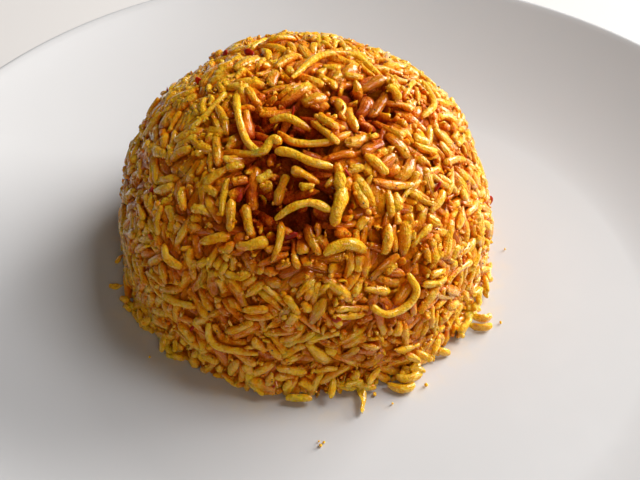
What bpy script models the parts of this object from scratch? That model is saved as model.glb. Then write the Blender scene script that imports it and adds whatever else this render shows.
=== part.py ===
"""Jollof rice turned out of a small round bowl, on a coupe dinner plate. Metres, +Z up.

The origin is under the plate's centre, on the surface that its foot ring stands on. The rice stands a
little to the left of the centre and behind it, as it was set down, with its broken side to the front.
"""

import math

import bmesh
import bpy
from mathutils import Vector, noise

# The plate
PLATE_RADIUS = 0.129
PLATE_HEIGHT = 0.0242
FLOOR_TOP = 0.0072  # height of the flat eating surface
FLOOR_RADIUS = 0.074  # where the flat surface starts to curve up to the rim
COVE_POWER = 1.7  # how the curve rises: 2 is a parabola, less rises sooner
FLOOR_WALL = 0.0042  # thickness of the china under the flat surface
LIP_RADIUS = 0.0015  # half the thickness of the china at the rim
FOOT_OUTER_RADIUS = 0.0660
FOOT_INNER_RADIUS = 0.0605
FOOT_EDGE = 0.0010  # rounding of the foot ring's two lower edges
PLATE_SEGMENTS = 72
COVE_STEPS = 10  # steps along the curved part of the plate, on each side
LIP_STEPS = 6
EDGE_STEPS = 2

# The heap of rice
HEAP_CENTRE = Vector((-0.0155, 0.0105, FLOOR_TOP + 0.0003))
HEAP_RADIUS = 0.0490
HEAP_HEIGHT = 0.0570
SIDE_FULLNESS = 2.40  # 2 is an ellipse, more gives squarer shoulders
TOP_FULLNESS = 2.50
HEAP_SEGMENTS = 72
HEAP_RINGS = 30

# How uneven the heap is, over the smooth inside of the bowl that it was pressed in
BROAD_SIZE, BROAD_HEIGHT = 0.022, 0.0013
LUMP_SIZE, LUMP_HEIGHT = 0.0085, 0.0009
FOOT_FADE = 0.006  # the height over which the relief starts, above the heap's flat underside
# Places where rice stayed behind in the bowl: x, y and z from the heap's centre, radius, depth
HOLLOWS = (
    (-0.007, -0.016, 0.055, 0.014, 0.0042),
    (0.013, -0.007, 0.056, 0.011, 0.0030),
    (-0.005, -0.031, 0.048, 0.015, 0.0036),
)

CHINA = {"color": (0.80, 0.80, 0.79, 1.0), "roughness": 0.16}
RICE = {"color": (0.69, 0.34, 0.055, 1.0), "roughness": 0.42}


def clear_scene():
    for old in list(bpy.data.objects):
        bpy.data.objects.remove(old)


def make_material(name, color, roughness):
    material = bpy.data.materials.new(name)
    material.use_nodes = True
    shader = material.node_tree.nodes["Principled BSDF"]
    shader.inputs["Base Color"].default_value = color
    shader.inputs["Roughness"].default_value = roughness
    shader.inputs["Metallic"].default_value = 0.0
    return material


def arc(centre, radius, start, end, steps):
    """Points of an arc in the (distance from axis, height) plane; the angles are in radians."""
    turns = [start + (end - start) * i / steps for i in range(steps + 1)]
    return [(centre[0] + radius * math.cos(a), centre[1] + radius * math.sin(a)) for a in turns]


def cove_height(distance, end):
    """Height of the eating surface, which is flat and then curves up more and more to the point end."""
    share = max(0.0, distance - FLOOR_RADIUS) / (end[0] - FLOOR_RADIUS)
    return FLOOR_TOP + (end[1] - FLOOR_TOP) * share**COVE_POWER


def plate_outline():
    """The plate's section, from the axis over the eating surface and the lip, and back under it."""
    lip = (PLATE_RADIUS - LIP_RADIUS, PLATE_HEIGHT - LIP_RADIUS)
    tilt = math.atan(COVE_POWER * (lip[1] - FLOOR_TOP) / (lip[0] - FLOOR_RADIUS))
    lip_arc = arc(lip, LIP_RADIUS, tilt + math.pi / 2, tilt - math.pi / 2, LIP_STEPS)
    inner_end, outer_end = lip_arc[0], lip_arc[-1]

    upper = [(0.0, FLOOR_TOP), (FLOOR_RADIUS / 2, FLOOR_TOP)]
    for i in range(COVE_STEPS):
        distance = FLOOR_RADIUS + (inner_end[0] - FLOOR_RADIUS) * i / COVE_STEPS
        upper.append((distance, cove_height(distance, inner_end)))

    under = []
    foot_top = FLOOR_TOP - FLOOR_WALL
    for i in range(1, COVE_STEPS + 1):
        share = i / COVE_STEPS
        distance = outer_end[0] + (FLOOR_RADIUS - outer_end[0]) * share
        wall = (inner_end[1] - outer_end[1]) * (1 - share) + FLOOR_WALL * share
        under.append((distance, cove_height(distance, inner_end) - wall))

    outer_edge = (FOOT_OUTER_RADIUS - FOOT_EDGE, FOOT_EDGE)
    inner_edge = (FOOT_INNER_RADIUS + FOOT_EDGE, FOOT_EDGE)
    foot = [(FOOT_OUTER_RADIUS + FOOT_EDGE, foot_top)]
    foot += arc(outer_edge, FOOT_EDGE, 0.0, -math.pi / 2, EDGE_STEPS)
    foot += arc(inner_edge, FOOT_EDGE, -math.pi / 2, -math.pi, EDGE_STEPS)
    foot += [(FOOT_INNER_RADIUS - FOOT_EDGE, foot_top), (0.0, foot_top)]
    return upper + lip_arc + under + foot


def heap_outline():
    """The smooth heap's section, from the middle of its flat underside up its side to the top."""
    side = []
    for i in range(HEAP_RINGS + 1):
        turn = math.pi / 2 * i / HEAP_RINGS
        distance = HEAP_RADIUS * max(0.0, math.cos(turn)) ** (2 / SIDE_FULLNESS)
        height = HEAP_HEIGHT * math.sin(turn) ** (2 / TOP_FULLNESS)
        side.append((distance, height))
    side[-1] = (0.0, HEAP_HEIGHT)
    return [(0.0, 0.0)] + side


def lathe(outline, segments):
    """A closed bmesh turned about +Z from an outline whose two ends lie on the axis."""
    turned = bmesh.new()
    points = [turned.verts.new((distance, 0.0, height)) for distance, height in outline]
    chain = [turned.edges.new(pair) for pair in zip(points, points[1:])]
    bmesh.ops.spin(
        turned, geom=points + chain, cent=(0, 0, 0), axis=(0, 0, 1), angle=2 * math.pi, steps=segments
    )
    bmesh.ops.remove_doubles(turned, verts=turned.verts, dist=1e-6)
    bmesh.ops.recalc_face_normals(turned, faces=turned.faces)
    return turned


def outward(point):
    """The smooth heap's outward direction near a point of its side."""
    distance = math.hypot(point.x, point.y)
    sideways = SIDE_FULLNESS * (distance / HEAP_RADIUS) ** (SIDE_FULLNESS - 1) / HEAP_RADIUS
    upwards = TOP_FULLNESS * (max(0.0, point.z) / HEAP_HEIGHT) ** (TOP_FULLNESS - 1) / HEAP_HEIGHT
    if distance < 1e-6:
        return Vector((0, 0, 1))
    return Vector((sideways * point.x / distance, sideways * point.y / distance, upwards)).normalized()


def relief(point):
    """How far the rice stands out from the smooth heap at a point, below 0 where some is missing."""
    height = noise.noise(point / BROAD_SIZE) * BROAD_HEIGHT + noise.noise(point / LUMP_SIZE) * LUMP_HEIGHT
    for x, y, z, radius, depth in HOLLOWS:
        away = (point - Vector((x, y, z))).length / radius
        if away < 1:
            height -= depth * (1 - away**2) ** 2
    return height


def roughen(heap):
    """Moves the points of the heap's side out and in by its relief, and leaves the underside flat."""
    for vert in heap.verts:
        if math.hypot(vert.co.x, vert.co.y) < 1e-6 and vert.co.z < 1e-6:
            continue
        rise = min(1.0, vert.co.z / FOOT_FADE)
        direction = outward(vert.co)
        direction.z *= rise
        vert.co += direction * relief(vert.co.copy())


def add_object(name, shape, location, material):
    mesh = bpy.data.meshes.new(name)
    shape.to_mesh(mesh)
    shape.free()
    mesh.materials.append(material)
    mesh.shade_smooth()
    mesh.set_sharp_from_angle(angle=math.radians(50))
    thing = bpy.data.objects.new(name, mesh)
    thing.location = location
    bpy.context.scene.collection.objects.link(thing)
    return thing


def build():
    clear_scene()
    china = make_material("china", CHINA["color"], CHINA["roughness"])
    rice = make_material("rice", RICE["color"], RICE["roughness"])

    add_object("plate", lathe(plate_outline(), PLATE_SEGMENTS), (0, 0, 0), china)

    heap = lathe(heap_outline(), HEAP_SEGMENTS)
    roughen(heap)
    add_object("rice_heap", heap, HEAP_CENTRE, rice)


build()
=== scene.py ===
"""The looks of a plate of jollof rice: a dome of rice turned out of a bowl, on a white coupe plate.

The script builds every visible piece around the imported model. The rice is packed grain by grain against
the inside of the bowl that shaped the heap, and Geometry Nodes then give every grain its body.
"""

import math
from dataclasses import dataclass

import bmesh
import bpy
import numpy as np
from bpy.props import FloatProperty, FloatVectorProperty, IntProperty, PointerProperty
from mathutils import Matrix, Vector, noise
from mathutils.bvhtree import BVHTree


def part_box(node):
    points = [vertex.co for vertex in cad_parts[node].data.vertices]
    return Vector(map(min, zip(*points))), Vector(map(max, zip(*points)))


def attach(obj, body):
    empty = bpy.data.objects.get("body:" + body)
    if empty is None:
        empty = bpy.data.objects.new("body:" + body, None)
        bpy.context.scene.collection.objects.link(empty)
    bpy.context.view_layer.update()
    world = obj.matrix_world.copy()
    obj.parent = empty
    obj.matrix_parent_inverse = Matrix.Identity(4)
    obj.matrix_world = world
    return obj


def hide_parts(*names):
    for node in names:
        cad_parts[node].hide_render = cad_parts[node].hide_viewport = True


bl_info = {
    "name": "Plated Rice",
    "version": (1, 0, 0),
    "blender": (4, 5, 0),
    "location": "View3D > Sidebar > Plated Rice",
    "description": "Makes a moulded heap of jollof rice on a dinner plate, grain by grain",
    "category": "Object",
}

MM = 0.001
BODY = "root"

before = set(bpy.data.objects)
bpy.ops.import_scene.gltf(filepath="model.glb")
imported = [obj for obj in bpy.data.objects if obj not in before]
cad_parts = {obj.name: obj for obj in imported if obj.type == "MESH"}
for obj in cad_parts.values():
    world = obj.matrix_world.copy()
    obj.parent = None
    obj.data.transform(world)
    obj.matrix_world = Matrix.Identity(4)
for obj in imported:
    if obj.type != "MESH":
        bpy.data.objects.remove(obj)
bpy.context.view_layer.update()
PLATE_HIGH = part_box("plate")[1]
HEAP_LOW, HEAP_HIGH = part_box("rice_heap")
HEAP_FOOT = Vector(((HEAP_LOW.x + HEAP_HIGH.x) / 2, (HEAP_LOW.y + HEAP_HIGH.y) / 2, HEAP_LOW.z))
HEAP_WIDTH = (HEAP_HIGH.x - HEAP_LOW.x + HEAP_HIGH.y - HEAP_LOW.y) / 2
HEAP_GAP = 0.0003  # how far over the plate the heap's underside lies


# --------------------------------------------------------------------------------------------------
# Sizes and colours
# --------------------------------------------------------------------------------------------------


def length(name, text, default):
    return FloatProperty(name=name, description=text, default=default, unit="LENGTH", precision=5)


def share(name, text, default):
    return FloatProperty(name=name, description=text, default=default, min=0.0, max=1.0, subtype="FACTOR")


def colour(name, text, default):
    return FloatVectorProperty(name=name, description=text, default=default, size=3, subtype="COLOR")


def whole(name, text, default):
    return IntProperty(name=name, description=text, default=default, min=0)


def angle(name, text, degrees):
    return FloatProperty(name=name, description=text, default=math.radians(degrees), subtype="ANGLE")


class PlateSettings(bpy.types.PropertyGroup):
    radius: length("Radius", "Radius of the plate at its rim", PLATE_HIGH.x)
    height: length("Height", "Height of the rim above the table", PLATE_HIGH.z)
    floor_top: length("Eating surface", "Height of the flat eating surface", HEAP_LOW.z - HEAP_GAP)
    floor_radius: length("Flat radius", "Where the flat surface starts to curve up", 0.074)
    cove_power: FloatProperty(name="Cove", description="How the wall rises: 2 is a parabola", default=1.7)
    wall: length("Wall", "Thickness of the china under the flat surface", 0.0042)
    lip: length("Lip", "Half the thickness of the china at the rim", 0.0015)
    foot_outer: length("Foot ring outside", "Outer radius of the foot ring", 0.066)
    foot_inner: length("Foot ring inside", "Inner radius of the foot ring", 0.0605)
    foot_edge: length("Foot ring edge", "Rounding of the foot ring's edges", 0.001)
    glaze: colour("Glaze", "Colour of the glaze", (0.58, 0.585, 0.59))
    bare_clay: colour("Bare clay", "Colour of the unglazed foot ring", (0.62, 0.57, 0.50))
    oil: colour("Oil", "Colour of the oil around the rice", (0.83, 0.62, 0.30))


class RiceSettings(bpy.types.PropertyGroup):
    grain_length: length("Grain length", "Middle length of a cooked grain", 7.3 * MM)
    grain_width: length("Grain width", "Middle thickness of a cooked grain", 2.15 * MM)
    shell: length("Shell", "How deep under the surface the heap is real grains", 8.0 * MM)
    fill: share("Fill", "Share of the shell that the grains fill", 0.70)
    passes: whole("Passes", "Passes that settle the grains", 150)
    seed: whole("Seed", "Seed of every random draw", 11)
    crumbs: whole("Crumbs", "Crumbs of mash between the grains", 5200)
    bits: whole("Pepper bits", "Bits of tomato and red pepper, besides those laid by hand", 45)
    specks: whole("Specks", "Specks of black pepper", 240)
    pale: colour("Pale", "Colour of a grain that took up little sauce", (1.0, 0.52, 0.014))
    gold: colour("Gold", "Middle colour of a grain", (0.98, 0.39, 0.004))
    # Deep and sauce are also the colours of the painted shade in the crevices
    deep: colour("Deep", "Colour of a grain steeped in sauce", (0.86, 0.20, 0.001))
    sauce: colour("Sauce", "Colour of the sauce between the grains", (0.38, 0.024, 0.0002))
    starch: colour("Starch", "Colour of the starch that clings to a grain", (1.0, 0.66, 0.10))
    pepper: colour("Pepper", "Colour of the bits of tomato and red pepper", (0.50, 0.022, 0.003))
    black: colour("Black pepper", "Colour of the specks of black pepper", (0.035, 0.018, 0.01))


class StageSettings(bpy.types.PropertyGroup):
    distance: length("Camera distance", "From the middle of the heap's foot to the lens", 0.260)
    elevation: angle("Camera elevation", "Height of the camera above the table", 46.0)
    roll: angle("Camera roll", "Turn about the view", -1.4)
    aside: angle("Aim aside", "How far right of the heap's foot the camera aims", 0.905)
    above: angle("Aim above", "How far above the heap's foot the camera aims", 0.603)
    lens: FloatProperty(name="Lens", description="Focal length for a 36 mm sensor, in mm", default=53.4)
    floor: colour("Floor", "Colour of the floor", (0.72, 0.70, 0.68))
    haze: colour("Haze", "Colour of the faint light from all sides", (1.0, 0.95, 0.89))
    haze_strength: share("Haze strength", "Strength of the faint light from all sides", 0.032)


# --------------------------------------------------------------------------------------------------
# Node trees written as expressions
# --------------------------------------------------------------------------------------------------


class Wire:
    """One output socket, with arithmetic that adds Math nodes."""

    def __init__(self, tree, socket):
        self.tree = tree
        self.socket = socket

    def math(self, operation, *others):
        values = {i: value for i, value in enumerate((self, *others))}
        return self.tree.node("ShaderNodeMath", {"operation": operation}, values)

    def flipped(self, operation, other):
        return self.tree.node("ShaderNodeMath", {"operation": operation}, {0: other, 1: self})

    def __add__(self, other):
        return self.math("ADD", other)

    def __sub__(self, other):
        return self.math("SUBTRACT", other)

    def __rsub__(self, other):
        return self.flipped("SUBTRACT", other)

    def __mul__(self, other):
        return self.math("MULTIPLY", other)

    def __rtruediv__(self, other):
        return self.flipped("DIVIDE", other)

    def __pow__(self, other):
        return self.math("POWER", other)

    __radd__ = __add__
    __rmul__ = __mul__

    def smooth(self, low, high):
        """0 under low, 1 over high and a smooth step between them; low may be the larger."""
        settings = {"interpolation_type": "SMOOTHSTEP"}
        return self.tree.node(
            "ShaderNodeMapRange", settings, {"Value": self, "From Min": low, "From Max": high}
        )


class Tree:
    """A node tree, for a material or for Geometry Nodes."""

    def __init__(self, nodes, links):
        self.nodes = nodes
        self.links = links

    def node(self, kind, settings=None, values=None, out=0):
        """Adds a node: its settings first, then a value or a Wire for each socket named or numbered."""
        made = self.nodes.new(kind)
        for name, value in (settings or {}).items():
            if name == "stops":
                self.set_stops(made.color_ramp, value)
            else:
                setattr(made, name, value)
        for key, value in (values or {}).items():
            socket = made.inputs[key]
            if isinstance(value, Wire):
                self.links.new(value.socket, socket)
            else:
                socket.default_value = value
        return Wire(self, self.output(made, out))

    @staticmethod
    def output(made, out):
        """An output by number or name; a number counts only the outputs that the settings leave on."""
        if isinstance(out, str):
            return next(o for o in made.outputs if o.name == out and o.enabled)
        return [o for o in made.outputs if o.enabled][out]

    @staticmethod
    def set_stops(ramp, stops):
        while len(ramp.elements) > 1:
            ramp.elements.remove(ramp.elements[-1])
        ramp.elements[0].position, first = stops[0][0], stops[0][1]
        ramp.elements[0].color = (*first, 1.0)
        for place, tint in stops[1:]:
            ramp.elements.new(place).color = (*tint, 1.0)

    def mix(self, factor, low, high, blend="MIX"):
        """Mixes two colours, each a colour or a Wire."""
        low, high = (c if isinstance(c, Wire) else (*c, 1.0) for c in (low, high))
        settings = {"data_type": "RGBA", "blend_type": blend, "clamp_factor": True}
        return self.node("ShaderNodeMix", settings, {0: factor, 6: low, 7: high})

    def noise(self, vector, scale, detail, roughness=0.5):
        values = {"Vector": vector, "Scale": scale, "Detail": detail, "Roughness": roughness}
        return self.node("ShaderNodeTexNoise", {"noise_dimensions": "3D"}, values)


class Paint(Tree):
    """A material whose look is one Principled BSDF."""

    def __init__(self, name):
        self.material = bpy.data.materials.new(name)
        self.material.use_nodes = True
        tree = self.material.node_tree
        super().__init__(tree.nodes, tree.links)
        self.shader = self.nodes["Principled BSDF"]

    def attribute(self, name, out="Fac"):
        return self.node("ShaderNodeAttribute", {"attribute_name": name}, out=out)

    def place(self):
        return self.node("ShaderNodeTexCoord", out="Object")

    def bump(self, height, distance, strength=1.0):
        return self.node(
            "ShaderNodeBump", None, {"Height": height, "Distance": distance, "Strength": strength}
        )

    def finish(self, **sockets):
        """Sets the shader's sockets; a name's _ stands for a space."""
        for name, value in sockets.items():
            socket = self.shader.inputs[name.replace("_", " ")]
            if isinstance(value, Wire):
                self.links.new(value.socket, socket)
            else:
                socket.default_value = value
        return self.material


# --------------------------------------------------------------------------------------------------
# What every piece needs
# --------------------------------------------------------------------------------------------------


def new_object(name, data):
    thing = bpy.data.objects.new(name, data)
    bpy.context.scene.collection.objects.link(thing)
    return thing


def plain_material(name, tint, roughness):
    return Paint(name).finish(Base_Color=(*tint, 1.0), Roughness=roughness)


def lathe(outline, segments):
    """A closed bmesh turned about +Z from an outline whose two ends lie on the axis."""
    turned = bmesh.new()
    points = [turned.verts.new((distance, 0.0, height)) for distance, height in outline]
    chain = [turned.edges.new(pair) for pair in zip(points, points[1:])]
    bmesh.ops.spin(
        turned, geom=points + chain, cent=(0, 0, 0), axis=(0, 0, 1), angle=2 * math.pi, steps=segments
    )
    bmesh.ops.remove_doubles(turned, verts=turned.verts, dist=1e-6)
    bmesh.ops.recalc_face_normals(turned, faces=turned.faces)
    return turned


# --------------------------------------------------------------------------------------------------
# The plate
# --------------------------------------------------------------------------------------------------

PLATE_SEGMENTS = 192
FLOOR_STEPS = 6  # steps across the flat middle
COVE_STEPS = 36  # steps along the curved part, on each side
ARC_STEPS = 10  # steps along the lip and each edge of the foot ring


def arc(centre, radius, start, end, steps=ARC_STEPS):
    """Points of an arc in the (distance from axis, height) plane; the angles are in radians."""
    turns = [start + (end - start) * i / steps for i in range(steps + 1)]
    return [(centre[0] + radius * math.cos(a), centre[1] + radius * math.sin(a)) for a in turns]


def cove_height(plate, distance, end):
    """Height of the eating surface, which is flat and then curves up more and more to the point end."""
    rise = max(0.0, distance - plate.floor_radius) / (end[0] - plate.floor_radius)
    return plate.floor_top + (end[1] - plate.floor_top) * rise**plate.cove_power


def plate_outline(plate):
    """The plate's section, from the axis over the eating surface and the lip, and back under it."""
    lip = (plate.radius - plate.lip, plate.height - plate.lip)
    tilt = math.atan(plate.cove_power * (lip[1] - plate.floor_top) / (lip[0] - plate.floor_radius))
    lip_arc = arc(lip, plate.lip, tilt + math.pi / 2, tilt - math.pi / 2)
    inner_end, outer_end = lip_arc[0], lip_arc[-1]

    upper = [(plate.floor_radius * i / FLOOR_STEPS, plate.floor_top) for i in range(FLOOR_STEPS)]
    for i in range(COVE_STEPS):
        distance = plate.floor_radius + (inner_end[0] - plate.floor_radius) * i / COVE_STEPS
        upper.append((distance, cove_height(plate, distance, inner_end)))

    under = []
    for i in range(1, COVE_STEPS + 1):
        inwards = i / COVE_STEPS
        distance = outer_end[0] + (plate.floor_radius - outer_end[0]) * inwards
        wall = (inner_end[1] - outer_end[1]) * (1 - inwards) + plate.wall * inwards
        under.append((distance, cove_height(plate, distance, inner_end) - wall))

    foot_top = plate.floor_top - plate.wall
    edge = plate.foot_edge
    foot = [(plate.foot_outer + edge, foot_top)]
    foot += arc((plate.foot_outer - edge, edge), edge, 0.0, -math.pi / 2)
    foot += arc((plate.foot_inner + edge, edge), edge, -math.pi / 2, -math.pi)
    foot += [(plate.foot_inner - edge, foot_top), (0.0, foot_top)]
    return upper + lip_arc + under + foot


def glaze_material(plate):
    paint = Paint("white_glaze")
    place = paint.place()
    x, y, z = (paint.node("ShaderNodeSeparateXYZ", None, {0: place}, axis) for axis in "XYZ")

    # A thin, uneven film of oil on the glaze round the foot of the rice
    away = ((x - HEAP_FOOT.x) ** 2 + (y - HEAP_FOOT.y) ** 2) ** 0.5
    patchy = paint.noise(place, 190, 3.0, 0.6)
    film = away.smooth(HEAP_WIDTH * 0.60, HEAP_WIDTH * 0.49) * patchy.smooth(0.35, 0.75) * 0.3
    film = film * z.smooth(plate.floor_top * 0.8, plate.floor_top * 0.95)

    # Faint clouding of the glaze, and the bare ring that it stands on
    cloud = paint.noise(place, 34, 3.0, 0.5)
    glaze = paint.mix(cloud * 0.5, plate.glaze, [c * 0.97 for c in plate.glaze])
    glaze = paint.mix(film, glaze, plate.oil)
    bare = z.smooth(plate.foot_edge * 0.9, plate.foot_edge * 0.3)
    grit = paint.noise(place, 2600, 2.0, 0.7)
    clay = paint.mix(grit, plate.bare_clay, [c * 0.8 for c in plate.bare_clay])

    smears = paint.noise(place, 60, 4.0, 0.65).smooth(0.45, 0.75)
    ripple = paint.noise(place, 120, 2.0, 0.5) * 0.7 + grit * bare
    return paint.finish(
        Base_Color=paint.mix(bare, glaze, clay),
        Roughness=0.30 + smears * 0.06 + bare * 0.6,
        Specular_IOR_Level=0.5,
        IOR=1.5,
        Normal=paint.bump(ripple, 0.00006, 0.5),
    )


class PLATED_OT_plate(bpy.types.Operator):
    """Make the coupe plate, with its glaze and its bare foot ring"""

    bl_idname = "plated.plate"
    bl_label = "Plate"

    def execute(self, context):
        plate = context.scene.plated_plate
        shape = lathe(plate_outline(plate), PLATE_SEGMENTS)
        mesh = bpy.data.meshes.new("coupe_plate")
        shape.to_mesh(mesh)
        shape.free()
        mesh.shade_smooth()
        mesh.materials.append(glaze_material(plate))
        piece = new_object("coupe_plate", mesh)
        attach(piece, BODY)
        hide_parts("plate")
        return {"FINISHED"}


# --------------------------------------------------------------------------------------------------
# The mould: the inside of the bowl that shaped the heap
# --------------------------------------------------------------------------------------------------


class Mould:
    """The heap's outer surface, as seen from the middle of its foot, in millimetres from there."""

    AROUND = 180  # directions round the heap
    UP = 60  # directions from its foot to its top

    def __init__(self):
        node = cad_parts["rice_heap"]
        corners = [v.co for v in node.data.vertices]
        tree = BVHTree.FromPolygons(corners, [tuple(p.vertices) for p in node.data.polygons])
        start = HEAP_FOOT + Vector((0, 0, 0.05 * MM))
        turns = np.linspace(-math.pi, math.pi, self.AROUND, endpoint=False)
        rises = np.linspace(0.0, math.pi / 2, self.UP)
        reach = np.zeros((self.UP, self.AROUND))
        self.ways = np.zeros((self.UP, self.AROUND, 3))
        for i, rise in enumerate(rises):
            for j, turn in enumerate(turns):
                way = Vector(
                    (math.cos(rise) * math.cos(turn), math.cos(rise) * math.sin(turn), math.sin(rise))
                )
                hit = tree.ray_cast(start, way)[3]
                reach[i, j] = hit / MM
                self.ways[i, j] = way
        reach[-1] = reach[-1].mean()
        self.reach = (reach + np.roll(reach, 1, 1) + np.roll(reach, -1, 1)) / 3
        points = self.ways * self.reach[..., None]
        along = np.roll(points, -1, 1) - np.roll(points, 1, 1)
        upward = np.gradient(points, axis=0)
        outward = np.cross(along, upward)
        outward[-1] = (0, 0, 1)
        self.outward = outward / np.linalg.norm(outward, axis=2, keepdims=True)

    def look_up(self, points):
        """The surface's reach and outward direction in the direction of each point."""
        x, y, z = points.T
        up = np.arctan2(np.maximum(z, 0.0), np.hypot(x, y)) / (math.pi / 2) * (self.UP - 1)
        round_ = (np.arctan2(y, x) + math.pi) / (2 * math.pi) * self.AROUND
        i = np.minimum(up.astype(int), self.UP - 2)
        j = round_.astype(int) % self.AROUND
        k = (j + 1) % self.AROUND
        a, b = up - i, round_ - np.floor(round_)
        weights = ((1 - a) * (1 - b), (1 - a) * b, a * (1 - b), a * b)
        corners = ((i, j), (i, k), (i + 1, j), (i + 1, k))
        reach = sum(w * self.reach[c] for w, c in zip(weights, corners))
        outward = sum(w[:, None] * self.outward[c] for w, c in zip(weights, corners))
        return reach, outward / np.linalg.norm(outward, axis=1, keepdims=True)

    def depth(self, points):
        """How far each point lies under the surface, and the way out."""
        far = np.maximum(np.linalg.norm(points, axis=1), 1e-6)
        reach, outward = self.look_up(points)
        steep = np.sum(points / far[:, None] * outward, axis=1)
        return (reach - far) * np.maximum(steep, 0.3), outward


# --------------------------------------------------------------------------------------------------
# Packing: grains as chains of beads that push each other apart
# --------------------------------------------------------------------------------------------------


@dataclass
class Kind:
    """What the grains of one kind are like. Sizes are in millimetres."""

    name: str
    share: float  # of the room that all the grains take
    beads: int  # how many beads a grain is packed as
    length: float
    length_spread: float
    width: float
    width_spread: float
    curve: float  # how much the grains are bent, and the most that they bend
    curve_limit: float
    ends: tuple  # the least and the most: 0 tapers off, 1 is cut square
    flatness: float  # the thickness over the width
    tumble: float = 0.8  # how far the grains turn about their own length, in radians
    lump: float = 1.0  # the height of the lumps on their skin


def kinds_of_grain(rice):
    long_, wide = rice.grain_length / MM, rice.grain_width / MM
    return (
        Kind(
            name="long_grains",
            share=0.64,
            beads=5,
            length=long_,
            length_spread=1.2,
            width=wide,
            width_spread=0.28,
            curve=0.026,
            curve_limit=0.065,
            ends=(0.25, 0.8),
            flatness=0.82,
        ),
        Kind(
            name="broken_grains",
            share=0.13,
            beads=3,
            length=long_ * 0.52,
            length_spread=0.9,
            width=wide * 0.95,
            width_spread=0.28,
            curve=0.015,
            curve_limit=0.05,
            ends=(0.55, 1.0),
            flatness=0.84,
        ),
        Kind(
            name="burst_grains",
            share=0.20,
            beads=4,
            length=long_ * 0.92,
            length_spread=1.0,
            width=wide * 1.28,
            width_spread=0.3,
            curve=0.020,
            curve_limit=0.05,
            ends=(0.35, 0.9),
            flatness=0.52,
            tumble=0.25,
        ),
        Kind(
            name="vermicelli",
            share=0.03,
            beads=9,
            length=13.0,
            length_spread=2.2,
            width=1.75,
            width_spread=0.10,
            curve=0.025,
            curve_limit=0.045,
            ends=(0.90, 0.97),
            flatness=0.96,
            lump=0.4,
        ),
    )


class Flock:
    """Grains of one kind. Positions are in millimetres from the middle of the heap's foot."""

    def __init__(self, kind, middles, headings, bends, lengths, widths, slack, tone):
        self.kind, self.count = kind, len(middles)
        self.lengths, self.widths, self.slack, self.tone = lengths, widths, slack, tone
        spacing = (lengths - widths) / (kind.beads - 1)
        steps = np.arange(kind.beads) - (kind.beads - 1) / 2
        self.along = steps[None, :] * spacing[:, None]
        self.bow = self.along**2 - (self.along**2).mean(1, keepdims=True)
        self.bow_sum = np.maximum((self.bow**2).sum(1), 1e-9)
        self.rest_bend = np.linalg.norm(bends, axis=1)
        self.middle, self.heading, self.bend = middles, headings, bends
        self.beads = self.arc(self.along)

    def arc(self, along):
        """Points of every grain at the distances along it: the grain is a shallow parabola."""
        bow = along**2 - (self.along**2).mean(1, keepdims=True)
        return (
            self.middle[:, None]
            + self.heading[:, None] * along[..., None]
            + self.bend[:, None] * bow[..., None]
        )

    def straighten(self):
        """Gives every grain its own length back, on the parabola that fits its pushed beads best."""
        self.middle = self.beads.mean(1)
        away = self.beads - self.middle[:, None]
        heading = np.einsum("nk,nkc->nc", self.along, away)
        self.heading = heading / np.maximum(np.linalg.norm(heading, axis=1, keepdims=True), 1e-9)
        bend = np.einsum("nk,nkc->nc", self.bow, away) / self.bow_sum[:, None]
        bend -= self.heading * np.einsum("nc,nc->n", bend, self.heading)[:, None]
        size = np.maximum(np.linalg.norm(bend, axis=1), 1e-9)
        wanted = np.clip(0.5 * size + 0.5 * self.rest_bend, 0, self.kind.curve_limit)
        self.bend = bend * (wanted / size)[:, None]
        self.beads = self.arc(self.along)

    def keep(self, chosen):
        """Drops the grains that aren't chosen."""
        for name in ("lengths", "widths", "slack", "tone", "along", "bow", "bow_sum", "rest_bend"):
            setattr(self, name, getattr(self, name)[chosen])
        for name in ("middle", "heading", "bend", "beads"):
            setattr(self, name, getattr(self, name)[chosen])
        self.count = int(chosen.sum())


def close_pairs(points, owner, reach):
    """Pairs of points of different owners that lie within reach of each other."""
    cell = np.floor(points / reach).astype(np.int64)
    cell -= cell.min(0) - 1
    size = cell.max(0) + 2
    key = (cell[:, 0] * size[1] + cell[:, 1]) * size[2] + cell[:, 2]
    order = np.argsort(key, kind="stable")
    ranked = key[order]
    firsts, seconds = [], []
    steps = [(x, y, z) for x in (-1, 0, 1) for y in (-1, 0, 1) for z in (-1, 0, 1)]
    for x, y, z in steps[13:]:  # the cell itself and the half of its neighbours that follow it
        wanted = key + (x * size[1] + y) * size[2] + z
        low = np.searchsorted(ranked, wanted, "left")
        many = np.searchsorted(ranked, wanted, "right") - low
        first = np.repeat(np.arange(len(points)), many)
        rank = np.arange(len(first)) - np.repeat(np.cumsum(many) - many, many)
        second = order[low[first] + rank]
        if (x, y, z) == (0, 0, 0):
            later = first < second
            first, second = first[later], second[later]
        apart = points[first] - points[second]
        near = (owner[first] != owner[second]) & (np.einsum("ij,ij->i", apart, apart) < reach**2)
        firsts.append(first[near])
        seconds.append(second[near])
    return np.concatenate(firsts), np.concatenate(seconds)


SEARCH_EVERY = 5  # passes between two searches for grains that are near each other
SEARCH_MARGIN = 0.2  # how much further than touching the search looks
CROWDING = 0.45  # how much a bead with many neighbours holds back
PRESSING = 0.06  # how far the first pass presses the grains against the mould
PRESSING_FADE = 3.0  # how soon the later passes press less


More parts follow.
